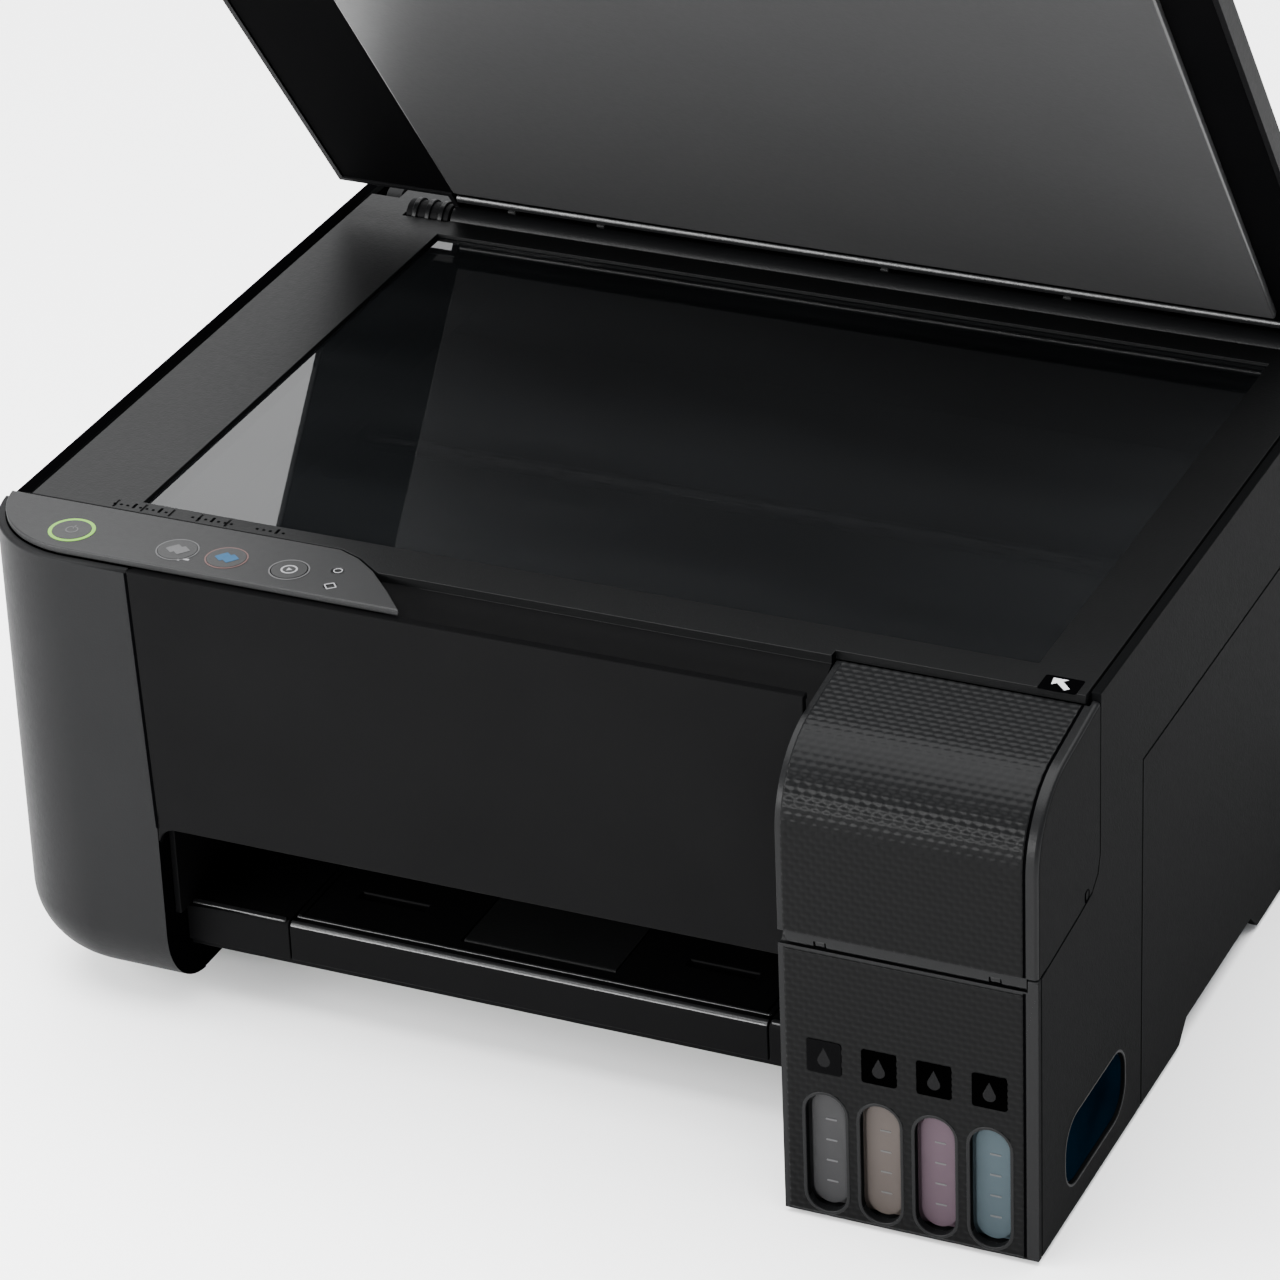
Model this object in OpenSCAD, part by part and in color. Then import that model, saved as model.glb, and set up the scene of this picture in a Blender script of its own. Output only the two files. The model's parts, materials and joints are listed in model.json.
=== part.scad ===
// Flatbed 3-in-1 ink tank printer, scanner lid held open.
// Millimetres. X across, Y from the front face to the back, Z up from the table.

/* [Body] */
// Overall width
body_w = 375; // [372:1:380]
// Overall depth, from the ink tank unit's face to the rear cover
body_d = 347; // [347:1:352]
// Height of the scanner's top face
body_h = 171; // [171:1:173]
// How far the ink tank unit stands in front of the front cover
tank_step = 25; // [24:1:26]
// Thickness of the moulded covers
wall = 2.6; // [2:0.1:3]
// Plan radius of the front left corner
corner_r = 39; // [37:1:41]
// Radius of the left cover's bottom edge
belly_r = 25; // [22:1:27]

/* [Scanner] */
// Angle at which the lid stands open
lid_open = 52.76; // [40:1:70]
// Width of the white backing mat
mat_w = 300; // [290:1:301]
// Thickness of the scanner glass
glass_t = 2.4; // [2:0.1:3]

/* [Ink unit] */
// Distance between neighbouring ink tanks
tank_pitch = 17.8; // [17.6:0.1:18]
// Width of a level window
window_w = 13; // [12:0.2:14]
// Height of a level window
window_h = 42.4; // [40:0.2:43]

/* [Paper path] */
// Lean of the rear paper support from upright, in degrees
feed_lean = 25; // [22:1:27]
// Width of paper that the feeder takes
paper_w = 216; // [210:1:216]

/* [Hidden] */
$fn = 64;

// body edges and seams
gap = 0.4;
left_x = -body_w / 2;
right_x = body_w / 2;
front_y = tank_step;
rear_y = body_d;
cover_end_y = rear_y - wall - gap;
cover_top = body_h - wall;
floor_z = 1.8;
belly_z = 10;
corner_x = left_x + corner_r;
corner_y = front_y + corner_r;
panel_y = 57.4;
panel_inset = 3;
shoulder_r = 9;
shoulder_x = left_x + 9.8;
lip_u = 16;

// scanner opening, frame edges and hinges
glass_x0 = -139.8;
glass_x1 = 163.9;
glass_y0 = 64.4;
glass_y1 = 279.5;
frame_x0 = shoulder_x + 1;
frame_x1 = right_x - 3.9;
strip_y = 47.5;
strip_right_y = 50.8;
plate_t = 3;
glass_top = body_h - 1.4;
lid_y = 296.5;
lid_z = body_h - 2.3;
lid_bar_r = 5.5;
lid_back_y = 284.5;
bar_x0 = -141;
bar_x1 = 166.2;
lift_y = 310;
lift_z = body_h - 5;
lift_pin_r = 2.5;
fit = 0.06;

// ink tank unit
unit_x0 = 104.4;
tank_x = [for (i = [0:3]) 118.6 + i * tank_pitch];
window_z = 25;
pad_y = 3;
tank_front = 5;
unit_wall = 2.4;
hinge_x = [116, 172];
hinge_pin_r = 0.7;
cap_hinge_y = 37;
cap_hinge_z = 105;
neck_y = 24;
seam_z = 99.5;
side_seam_y = 53;
roll_r = 1.6;
cover_hinge_y = 1.6;
roll_gap = 0.9;
brow_r = 28;
brow_slope = 9;
cover_rear_y = 50.2;
cover_rear_z = body_h - 3;

// rear screws
screw_x = [-165, -60, 40, 165];
screw_z = 90;

// paper slot, tray and feeder
slot_x0 = -122;
slot_x1 = unit_x0 - 0.5;
slot_top = 76;
tray_x0 = -83.9;
tray_x1 = 83.4;
tray_y = 38;
tray_z0 = 27;
tray_z1 = 41;
paper_x = -8;
feed_y = 331;
feed_top = body_h;

// print mechanism
rail_y = 227;
carriage_x = 143;
belt_y = 239;
belt_z = 106;
pulley_r = 6;
drive_x = -163;
idler_x = 176;
feed_roller_y = 240;
exit_roller_y = 150;
feed_roller_z = 67;
exit_roller_z = 68.5;
feed_wheel_r = 7.25;
exit_wheel_r = 5.8;
star_z = 78;
shaft_r = 3;
pickup_y = 276.7;
pickup_z = 94.8;
rod_y = 172;
rod_z = 146;

// button places on the panel: x, y, radius
power_at = [-152.1, 39.7, 6.6];
mono_at = [-114.1, 39.4, 6.6];
colour_at = [-97, 39.8, 6.6];
stop_at = [-74.9, 39.6, 6.0];

// ---------- helpers ----------

module seated() translate([0, -body_d / 2, 0]) children();

module box(x0, x1, y0, y1, z0, z1) translate([x0, y0, z0]) cube([x1 - x0, y1 - y0, z1 - z0]);

module rod_along_x(x0, x1, y, z, r) translate([x0, y, z]) rotate([0, 90, 0]) cylinder(h = x1 - x0, r = r);

module rod_along_y(y0, y1, x, z, r) translate([x, y0, z]) rotate([-90, 0, 0]) cylinder(h = y1 - y0, r = r);

module rod_along_z(z0, z1, x, y, r) translate([x, y, z0]) cylinder(h = z1 - z0, r = r);

// a (y, z) outline drawn out along X
module along_x(x0, x1) translate([x0, 0, 0]) rotate([90, 0, 90]) linear_extrude(x1 - x0) children();

// an (x, z) outline drawn out along Y
module along_y(y0, y1) translate([0, y1, 0]) rotate([90, 0, 0]) linear_extrude(y1 - y0) children();

module rounded(w, h, r) {
    translate([-w / 2, -h / 2 + r]) square([w, h - 2 * r]);
    translate([-w / 2 + r, -h / 2]) square([w - 2 * r, h]);
    for (sx = [-1, 1], sy = [-1, 1])
        translate([sx * (w / 2 - r), sy * (h / 2 - r)]) circle(r);
}

module stadium(w, h) {
    square([w, h - w], center = true);
    for (s = [-1, 1]) translate([0, s * (h - w) / 2]) circle(d = w);
}

module lid_pose() translate([0, lid_y, lid_z]) rotate([-lid_open, 0, 0]) translate([0, -lid_y, -lid_z]) children();

module feed_pose() translate([paper_x, feed_y, feed_top]) rotate([-feed_lean, 0, 0]) children();

// ---------- covers ----------

// section of a cover wall: u runs outward, z up, both edges rounded
module belly_outline(reach, bottom, top, low_r, top_r) {
    translate([0, bottom + low_r]) square([reach, top - bottom - low_r - top_r]);
    translate([0, bottom]) square([reach - low_r, low_r + 1]);
    translate([reach - low_r, bottom + low_r]) circle(low_r);
    translate([0, top - top_r - 1]) square([reach - top_r, top_r + 1]);
    translate([reach - top_r, top - top_r]) circle(top_r);
}

// wall under the panel: square top edge, open above
module low_wall() intersection() {
    difference() {
        belly_outline(corner_r, belly_z, cover_top, belly_r, 1);
        belly_outline(corner_r - wall, belly_z + wall, body_h + 9, belly_r - wall, 1);
    }
    translate([lip_u, 0]) square([corner_r, body_h]);
}

// wall beside the scanner: round shoulder with a narrow lip
module shoulder_wall() intersection() {
    difference() {
        belly_outline(corner_r, belly_z, body_h, belly_r, shoulder_r);
        belly_outline(corner_r - wall, belly_z + wall, cover_top, belly_r - wall, shoulder_r - wall);
    }
    union() {
        translate([corner_x - shoulder_x, belly_z]) square([corner_r, body_h]);
        translate([lip_u, 0]) square([corner_r, 60]);
    }
}

module round_corner() translate([corner_x, corner_y, 0]) rotate([0, 0, 180]) rotate_extrude(angle = 90)
    children();

module left_cover() color("#26272a") seated() difference() {
    union() {
        difference() {
            union() {
                round_corner() low_wall();
                translate([slot_x0, corner_y, 0]) rotate([90, 0, -90]) linear_extrude(slot_x0 - corner_x)
                    low_wall();
            }
            box(left_x - 1, slot_x0 + 1, panel_y + gap, corner_y + 1, 0, body_h);
        }
        // inner wall beside the paper slot
        translate([slot_x0, corner_y, 0]) rotate([90, 0, -90]) linear_extrude(2.2)
            belly_outline(corner_r - 0.5, belly_z + 0.5, slot_top - 1, belly_r - 0.5, 1);
        difference() {
            union() {
                round_corner() shoulder_wall();
                translate([corner_x, corner_y, 0]) rotate([90, 0, 180])
                    linear_extrude(cover_end_y - corner_y) shoulder_wall();
            }
            box(left_x - 1, slot_x0 + 1, 0, panel_y + gap, 0, body_h + 1);
        }
    }
    along_y(front_y - 1, corner_y)
        polygon([[slot_x0 - 3.6, body_h], [slot_x0 + 0.1, 74], [slot_x0 + 5, 74], [slot_x0 + 5, body_h]]);
    box(left_x - 1, left_x + 30, 134, 197, 0, 18);
}

module front_cover() color("#222326") seated() {
    lower_x = slot_x0 + 0.5;
    along_y(front_y, front_y + wall) difference() {
        polygon([[lower_x - 3.7, cover_top], [lower_x, 74], [lower_x, 70],
                 [lower_x + 6, 70], [lower_x + 6, slot_top], [slot_x1, slot_top], [slot_x1, cover_top]]);
        translate([lower_x + 6, 70]) circle(6);
    }
    box(lower_x - 3, slot_x1, front_y + wall, front_y + 3.6, cover_top - 2.2, cover_top);
    box(lower_x + 6, slot_x1, front_y + wall, front_y + 9, slot_top, slot_top + 2.2);
    for (x = [-70, -10, 50]) box(x - 1, x + 1, front_y + wall, front_y + 4, slot_top + 2.2, cover_top - 2.2);
}

module right_side_outline() difference() {
    polygon([[3, floor_z], [3, 101.4], [36, 104.6], [46, 106], [51.5, 110], [side_seam_y + gap, 116],
             [side_seam_y + gap, body_h], [cover_end_y, body_h], [cover_end_y, 128.1],
             [91.2, 128.1], [91.2, floor_z]]);
    translate([49.7, 23.2]) rounded(53, 24.6, 10);
}

module right_cover() color("#232427") seated() along_x(right_x - 3.1, right_x) right_side_outline();

module right_rear_cover() color("#202124") seated() along_x(right_x - 3.1, right_x)
    polygon([[91.6, floor_z], [91.6, 127.7], [cover_end_y, 127.7], [cover_end_y, floor_z],
             [206, floor_z], [199, 8.5], [135, 8.5], [128, floor_z]]);

module rear_outline() difference() {
    union() {
        translate([corner_x, 0]) mirror([1, 0]) belly_outline(corner_r, belly_z, body_h, belly_r, shoulder_r);
        translate([corner_x, belly_z]) square([right_x - corner_x, body_h - belly_z]);
        translate([-150, floor_z]) square([right_x + 150, 20]);
    }
    translate([-150, 42]) square([30, 24], center = true);
    translate([150, 45]) square([14, 13], center = true);
    for (x = screw_x) translate([x, screw_z]) circle(3.3);
}

module feeder_cheek(side) {
    inner = paper_w / 2 + 3.2;
    x0 = side > 0 ? inner : -inner - 4;
    difference() {
        translate([x0, -9, -125]) cube([4, 20, 113]);
        translate([side * inner - 1.7, 3.6, -126]) cube([3.4, 3.9, 130]);
        translate([side * inner - 3, 1.2, -15]) rotate([0, 90, 0]) cylinder(h = 6, r = 1.5 + fit);
    }
}

module rear_cover() color("#202124") seated() {
    slot_l = paper_x - 116;
    slot_r = paper_x + 116;
    along_y(rear_y - wall, rear_y) rear_outline();
    difference() {
        union() {
            box(frame_x0, slot_l, 316, rear_y - wall, cover_top, body_h);
            box(slot_r, frame_x1, 316, rear_y - wall, cover_top, body_h);
            box(slot_l, slot_r, 341.6, rear_y - wall, cover_top, body_h);
            for (x = [-173, 173]) box(x, x + 5.6, lift_y, rear_y - wall, lift_z - 5, body_h);
            for (x = [-173, 173]) rod_along_x(x, x + 5.6, lift_y, lift_z, 5);
        }
        for (x = [-173, 173]) rod_along_x(x - 1, x + 7, lift_y, lift_z, lift_pin_r + fit);
    }
    for (s = [-1, 1]) feed_pose() feeder_cheek(s);
}

module base_tray() color("#1c1d20") seated() {
    floor_x0 = left_x + 24;
    floor_x1 = right_x - 3.5;
    base_t = 3;
    low = floor_z + 1.2;
    difference() {
        union() {
            box(floor_x0, floor_x1, 92, cover_end_y, low, low + base_t);
            box(floor_x0, unit_x0 - 1, 82, 93, low, low + base_t);
            along_x(slot_x0 + 0.4, slot_x1)
                polygon([[40, tray_z0 - 2.6], [80, low], [86, low], [86, low + base_t],
                         [82, low + base_t], [42, tray_z0], [40, tray_z0]]);
            for (x = [floor_x0, floor_x1 - 2]) box(x, x + 2, 120, 318, low, 60);
        }
        for (x = [-130, 130], y = [110, 322]) rod_along_z(0, 10, x, y, 1.4);
    }
    // ledges each side of the output tray, with a groove that carries it
    for (x = [[slot_x0 + 0.6, tray_x0 - 0.4], [tray_x1 + 0.4, slot_x1]]) {
        box(x[0], x[1], tray_y, 186, tray_z1 - 2.6, tray_z1);
        box(x[0], x[1], tray_y, tray_y + 4, tray_z0, tray_z1);
    }
    for (x = [tray_x0 - 3.4, tray_x1 + 0.4]) difference() {
        box(x, x + 3, tray_y, 186, tray_z0, tray_z1);
        box(tray_x0 - 2, tray_x1 + 2, tray_y + 4.4, 187, 31.5, 35.5);
    }
    // cheeks of the paper slot
    for (x = [slot_x0 + 0.4, slot_x1 - 2.2]) box(x, x + 2.2, front_y + 6, 140, tray_z1, 73.5);
    // roller bearings
    for (x = [-127, 108]) difference() {
        union() {
            box(x, x + 4, exit_roller_y - 9, feed_roller_y + 9, low + base_t, 72);
            box(x, x + 4, exit_roller_y - 9, exit_roller_y + 9, low + base_t, 86);
        }
        rod_along_x(x - 1, x + 5, feed_roller_y, feed_roller_z, shaft_r + fit);
        rod_along_x(x - 1, x + 5, exit_roller_y, exit_roller_z, shaft_r + fit);
        rod_along_x(x - 1, x + 5, exit_roller_y, star_z, 1 + fit);
    }
    // pickup shaft posts
    for (x = [-132, 112]) difference() {
        box(x, x + 4, 270, 284, low + base_t, 101);
        rod_along_x(x - 1, x + 5, pickup_y, pickup_z, shaft_r + fit);
    }
}

module rubber_feet() color("#101113") seated()
    for (x = [-130, 130], y = [110, 322]) {
        rod_along_z(0, floor_z + 1.2, x, y, 8);
        rod_along_z(floor_z + 1.2, floor_z + 4, x, y, 1.3);
    }

module case_screws() color("#8a8d90") seated()
    for (x = screw_x) {
        rod_along_y(rear_y - 2, rear_y - 0.4, x, screw_z, 3);
        rod_along_y(rear_y - 12, rear_y - 2, x, screw_z, 1.4);
    }

// ---------- ink tank unit ----------

module cover_profile(inset) {
    rise = tan(brow_slope);
    arc_y = brow_r;
    arc_z = cover_rear_z - rise * (cover_rear_y - brow_r) - brow_r / cos(brow_slope);
    r = brow_r - inset;
    difference() {
        union() {
            translate([inset, seam_z - 20]) square([arc_y, arc_z - seam_z + 20]);
            translate([arc_y, arc_z]) circle(r);
            polygon([[arc_y, seam_z - 20], [cover_rear_y + 4, seam_z - 20],
                     [cover_rear_y + 4, cover_rear_z + 4 * rise - inset / cos(brow_slope)],
                     [arc_y - r * sin(brow_slope), arc_z + r * cos(brow_slope)]]);
        }
        translate([-1, seam_z - 30]) square([100, 30]);
    }
}

module skirt_cut() polygon([[-1, seam_z - 5], [60, seam_z - 5], [60, 116], [side_seam_y, 116],
    [51.1, 110.4], [46, 106.6], [36, 105.2], [7.8, seam_z + 2.9], [-1, seam_z + 2.6]]);

module ink_cover() color("#2a2b2e") seated() {
    difference() {
        union() {
            difference() {
                along_x(unit_x0, right_x) intersection() {
                    cover_profile(0);
                    square([cover_rear_y, 300]);
                }
                along_x(unit_x0 + unit_wall, right_x - unit_wall) cover_profile(unit_wall);
                along_x(unit_x0 - 1, right_x + 1) translate([unit_wall, seam_z - 1]) square([60, 4]);
            }
            intersection() {
                along_x(right_x - unit_wall, right_x) difference() {
                    cover_profile(0);
                    skirt_cut();
                }
                box(0, body_w, 20, side_seam_y, 0, 300);
            }
            rod_along_x(unit_x0 + 2.8, right_x - 3.6, cover_hinge_y, seam_z, roll_r);
        }
        along_x(unit_x0 - 1, unit_x0 + unit_wall) skirt_cut();
        along_x(right_x - 3.6, right_x + 1) skirt_cut();
        for (x = hinge_x) rod_along_x(x, x + 4, cover_hinge_y, seam_z, roll_r + 0.2);
        for (x = hinge_x) box(x, x + 4, cover_hinge_y, 12, seam_z - 5, seam_z + 5);
    }
    for (x = hinge_x) rod_along_x(x - 0.5, x + 4.5, cover_hinge_y, seam_z, hinge_pin_r);
}

module window_row() for (x = tank_x) translate([x, window_z]) stadium(window_w, window_h);

// one ear of the ink cover's hinge
module housing_ear(x) difference() {
    union() {
        rod_along_x(x + 0.5, x + 3.5, cover_hinge_y, seam_z, roll_r - 0.2);
        box(x + 0.5, x + 3.5, cover_hinge_y, 12.5, seam_z - 1.4, seam_z + 0.8);
    }
    rod_along_x(x, x + 4, cover_hinge_y, seam_z, hinge_pin_r + fit);
}

module tank_housing() color("#27282b") seated() {
    deck_z = 96;
    difference() {
        union() {
            along_y(0, unit_wall) difference() {
                translate([unit_x0, floor_z]) square([right_x - unit_x0, seam_z - floor_z]);
                window_row();
            }
            box(unit_x0, unit_x0 + unit_wall, unit_wall, 91, floor_z, seam_z + 2);
            box(unit_x0 + unit_wall, right_x - 3.5, unit_wall, 91, floor_z, floor_z + 2);
            box(unit_x0 + unit_wall, right_x - 3.5, 12, 56, deck_z, deck_z + 2);
            for (x = tank_x) rod_along_x(x - 5.4, x - 3.2, cap_hinge_y, cap_hinge_z, 2.4);
            for (x = tank_x) box(x - 5.4, x - 3.2, cap_hinge_y - 2.2, cap_hinge_y + 2.2, deck_z, cap_hinge_z);
        }
        rod_along_x(unit_x0 - 1, right_x - 3.3, cover_hinge_y, seam_z, roll_r + roll_gap);
        for (x = tank_x) rod_along_z(90, 102, x, neck_y, 5.6);
        for (x = tank_x) translate([x, 0.3, 59.8]) rotate([90, 0, 0]) linear_extrude(1)
            rounded(12.4, 12.6, 1);
    }
    // front corner beside the cover's roll
    along_x(right_x - 3.3, right_x) intersection() {
        translate([cover_hinge_y, seam_z]) circle(roll_r + 0.7);
        translate([0, seam_z - 2]) square([unit_wall, 6]);
    }
    for (x = hinge_x) housing_ear(x);
    for (x = hinge_x) box(x + 0.5, x + 3.5, 12, 13, seam_z - 4, seam_z + 0.8);
}

// one tank: body, filler neck and the raised window pad
module ink_tank(i, side_window = false) seated() {
    x = tank_x[i];
    half = tank_pitch / 2 - 0.3;
    shell = 1.2;
    difference() {
        union() {
            box(x - half, x + half, tank_front, 88, 4.2, 92);
            rod_along_z(92, 101, x, neck_y, 5);
            along_y(pad_y, tank_front) translate([x, window_z]) stadium(window_w - 1.6, window_h - 2.4);
            if (side_window) {
                box(x + half, right_x - 3.5, 16, 84, 6, 42);
                along_x(right_x - 3.5, right_x - 1.4) translate([49.7, 23.2]) rounded(52.2, 23.8, 9.6);
            }
        }
        box(x - half + shell, x + half - shell, tank_front + shell, 88 - shell, 5.4, 90.8);
        rod_along_z(85, 102, x, neck_y, 3.6);
    }
}

module black_tank() color("#4a4b4e") ink_tank(0);

module yellow_tank() color("#b5a793") ink_tank(1);

module magenta_tank() color("#a88a9c") ink_tank(2);

module cyan_tank() color("#7f9dab") ink_tank(3, true);

// a stopper on a strap, hinged behind its filler neck
module tank_cap(i) seated() {
    x = tank_x[i];
    rod_along_z(101.4, 106.4, x, neck_y, 6.4);
    rod_along_z(98, 101.4, x, neck_y, 3.2);
    box(x - 2, x + 2, 29.4, cap_hinge_y, 103.6, 106.4);
    difference() {
        rod_along_x(x - 2.8, x + 5, cap_hinge_y, cap_hinge_z, 2.4);
        rod_along_x(x + 2, x + 6, cap_hinge_y, cap_hinge_z, 1);
    }
}

module black_cap() color("#1a1a1c") tank_cap(0);

module yellow_cap() color("#c8a21e") tank_cap(1);

module magenta_cap() color("#a5246a") tank_cap(2);

module cyan_cap() color("#1d79a8") tank_cap(3);

// tubes run back from the tanks, then across to the carriage guide
module ink_tubes() color("#30343a") seated() {
    bend_r = 12;
    for (i = [0:3]) {
        z = 78 + i * 3.5;
        x = tank_x[i];
        end_y = 118 + i * 4;
        rod_along_y(88.2, end_y - bend_r, x, z, 1.4);
        translate([x - bend_r, end_y - bend_r, z]) rotate_extrude(angle = 90) translate([bend_r, 0]) circle(1.4);
        rod_along_x(20, x - bend_r, end_y, z, 1.4);
    }
}

// ---------- print mechanism ----------

module carriage_rail() color("#9a9da1") seated() {
    box(-172, 180, rail_y, rail_y + 2.4, 84, 119);
    difference() {
        union() {
            for (x = [-128, 112]) box(x - 1.5, x + 1.5, rail_y + 2.4, rail_y + 12, 75, 100);
            box(drive_x - 12, drive_x + 12, rail_y + 2.4, belt_y + 12, 98, 100);
            box(idler_x - 10, 181, rail_y + 2.4, belt_y + 8, 98, 100);
            rod_along_z(100, 112, idler_x, belt_y, 1.5);
        }
        rod_along_z(97, 101, drive_x, belt_y, 3);
    }
}

module timing_belt() color("#1b1b1b") seated() translate([0, 0, belt_z - 3]) linear_extrude(6)
    difference() {
        union() {
            for (x = [drive_x, idler_x]) translate([x, belt_y]) circle(pulley_r + 1.4);
            translate([drive_x, belt_y - pulley_r - 1.4]) square([idler_x - drive_x, 2 * (pulley_r + 1.4)]);
        }
        for (x = [drive_x, idler_x]) translate([x, belt_y]) circle(pulley_r + 0.3);
        translate([drive_x, belt_y - pulley_r - 0.3]) square([idler_x - drive_x, 2 * (pulley_r + 0.3)]);
    }

module carriage_motor() color("#7c7f83") seated() difference() {
    rod_along_z(70, 97.6, drive_x, belt_y, 9);
    rod_along_z(85, 98, drive_x, belt_y, 1.5 + fit);
}

module drive_pulley() color("#c9c9c6") seated() {
    rod_along_z(88, 101, drive_x, belt_y, 1.5);
    rod_along_z(101, 102.4, drive_x, belt_y, pulley_r + 1);
    rod_along_z(102.4, 110, drive_x, belt_y, pulley_r);
}

module idler_pulley() color("#c9c9c6") seated() difference() {
    rod_along_z(102.4, 110, idler_x, belt_y, pulley_r);
    rod_along_z(102, 111, idler_x, belt_y, 1.5 + fit);
}

module print_carriage() color("#2c2d30") seated() {
    x0 = carriage_x - 37;
    x1 = carriage_x + 37;
    arm_y = rail_y + 4.2;
    difference() {
        box(x0, x1, 160, rail_y - 0.4, 84, 120);
        box(x0 + 2.4, x1 - 2.4, 162.4, rail_y - 3, 88, 121);
    }
    box(carriage_x - 8, carriage_x + 8, rail_y - 4, arm_y - 0.6, 119.6, 122.4);
    box(carriage_x - 8, carriage_x + 8, arm_y - 1.2, arm_y - 0.1, 104, 122.4);
}

module print_head() color("#505256") seated() {
    box(carriage_x - 26, carriage_x + 26, 168, 214, 77, 84);
    box(carriage_x - 14, carriage_x + 14, 176, 206, 76, 77);
}

module platen() color("#232427") seated() {
    box(slot_x0 + 6, slot_x1 - 4, 160, 222, 66, 70);
    for (x = [-106:12:86]) box(x, x + 2, 160, 222, 70, 73.4);
}

// a steel shaft with rubber sleeves and a belt wheel at its left end
module roller(y, z, sleeve_r, wheel_r) {
    rod_along_x(-140, 112.5, y, z, shaft_r);
    for (x = [-98:40:62]) difference() {
        rod_along_x(x, x + 24, y, z, sleeve_r);
        rod_along_x(x - 1, x + 25, y, z, 2.9);
    }
    rod_along_x(-138, -132, y, z, wheel_r);
}

module feed_roller() color("#6b6e72") seated() roller(feed_roller_y, feed_roller_z, 6.4, feed_wheel_r);

module exit_roller() color("#6b6e72") seated() roller(exit_roller_y, exit_roller_z, 5, exit_wheel_r);

module star_wheels() color("#b8b8b4") seated() {
    rod_along_x(-125, 111, exit_roller_y, star_z, 1);
    for (x = [-86:40:74]) rod_along_x(x, x + 1.2, exit_roller_y, star_z, 4.2, $fn = 24);
}

module feed_belt() color("#1b1b1b") seated() {
    along_x(-137, -133) difference() {
        belt_loop(1.3);
        belt_loop(0.3);
    }
}

module belt_loop(grow) hull() {
    translate([feed_roller_y, feed_roller_z]) circle(feed_wheel_r + grow, $fn = 40);
    translate([exit_roller_y, exit_roller_z]) circle(exit_wheel_r + grow, $fn = 40);
}

module feed_motor() color("#7c7f83") seated() {
    rod_along_x(-160, -142, 195, 30, 15);
    box(-142, -140.4, 176, 214, 7, 50);
}

module capping_station() color("#35373b") seated() {
    box(113.5, 176, 160, 224, 45, 66);
    difference() {
        box(carriage_x - 20, carriage_x + 20, 170, 212, 66, 75.4);
        box(carriage_x - 17, carriage_x + 17, 173, 209, 68, 76);
    }
}

module waste_ink_pad() color("#d8d6cf") seated() box(112, 178, 160, 224, 8, 34);

module main_board() color("#1f5a3a") seated() {
    box(126, 176, 262, 338, 12, 13.6);
    box(140, 152, 290, 302, 13.6, 16);
}

module power_supply() color("#a9abad") seated() box(-158, -86, 296, 338, 8, 29);

module power_inlet() color("#141416") seated() difference() {
    union() {
        box(-164.6, -135.4, rear_y - 26, rear_y - 0.6, 30.4, 53.6);
        box(-167, -133, rear_y - wall - 2.4, rear_y - wall - 0.01, 28, 56);
    }
    box(-161, -139, rear_y - 20, rear_y + 1, 34, 50);
}

module usb_port() color("#b9bbbd") seated() difference() {
    box(143.5, 156.5, rear_y - 18, rear_y - 0.6, 39, 51);
    box(145, 155, rear_y - 12, rear_y, 40.5, 49.5);
}

// ---------- rear feeder ----------

module hopper_plate() color("#2b2c2f") seated() feed_pose() {
    half = paper_w / 2;
    translate([-half, 0, -104]) cube([2 * half, 2.4, 92]);
    translate([-half - 5.8, 1.2, -15]) rotate([0, 90, 0]) cylinder(h = 2 * half + 11.6, r = 1.5);
}

module pickup_roller() color("#3a3b3e") seated() {
    rod_along_x(-131, 115, pickup_y, pickup_z, shaft_r);
    for (x = [paper_x - 40, paper_x + 20]) rod_along_x(x, x + 20, pickup_y, pickup_z, 14);
}

module paper_support() color("#25262a") seated() feed_pose() {
    half = paper_w / 2 + 2.8;
    difference() {
        translate([-half, 4, -122]) cube([2 * half, 2.8, 118]);
        translate([0, 8, -64]) rotate([90, 0, 0]) linear_extrude(5) rounded(150, 70, 10);
    }
    translate([-30, 6.8, -12]) cube([60, 1.6, 8]);
}

module feeder_guard() color("#232427") seated() {
    half = 115.4;
    rod_along_x(paper_x - half, paper_x + half, 318.6, cover_top + 0.5, 1.6);
    box(paper_x - half, paper_x + half, 318.6, 333, cover_top + 0.3, body_h - 0.3);
}

module edge_guide(side) {
    half = paper_w / 2;
    x0 = side > 0 ? half - 0.4 : -half - 2;
    translate([x0, -8.4, -80]) cube([2.4, 8, 68]);
    translate([side > 0 ? half - 16 : -half - 2, -2.4, -80]) cube([18, 2, 40]);
}

module left_edge_guide() color("#303135") seated() feed_pose() edge_guide(-1);

module right_edge_guide() color("#303135") seated() feed_pose() edge_guide(1);

// ---------- output tray ----------

module output_tray() color("#26272a") seated() {
    box(tray_x0, tray_x1, tray_y + 6, 180, 32, 34);
    for (x = [tray_x0, tray_x1 - 2]) box(x, x + 2, tray_y + 6, 180, 34, tray_z1);
    for (x = [tray_x0 - 1.6, tray_x1]) box(x, x + 1.6, 143, 176, 32.5, 34.5);
    box(tray_x0, tray_x1, 178, 180, 34, tray_z1);
}

module tray_extension() color("#2a2b2e") seated() {
    inner0 = tray_x0 + 2.4;
    inner1 = tray_x1 - 2.4;
    difference() {
        box(inner0, inner1, tray_y + 3, 150, 37, tray_z1);
        box(-27, 27, 48, 78, 38.6, tray_z1 + 1);
        for (x = [-58, 58]) box(x - 12, x + 12, 60, 64, tray_z1 - 0.8, tray_z1 + 1);
    }
    box(tray_x0, tray_x1, tray_y, tray_y + 3, tray_z0, tray_z1);
    box(inner0, inner1, 140, 142, 34.4, 37);
}

module paper_stop() color("#303135") seated() {
    rod_along_x(-26.6, 26.6, 50, 39.9, 1.1);
    box(-26.6, 26.6, 50, 77.4, 39, tray_z1);
}

// ---------- scanner unit ----------

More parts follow.
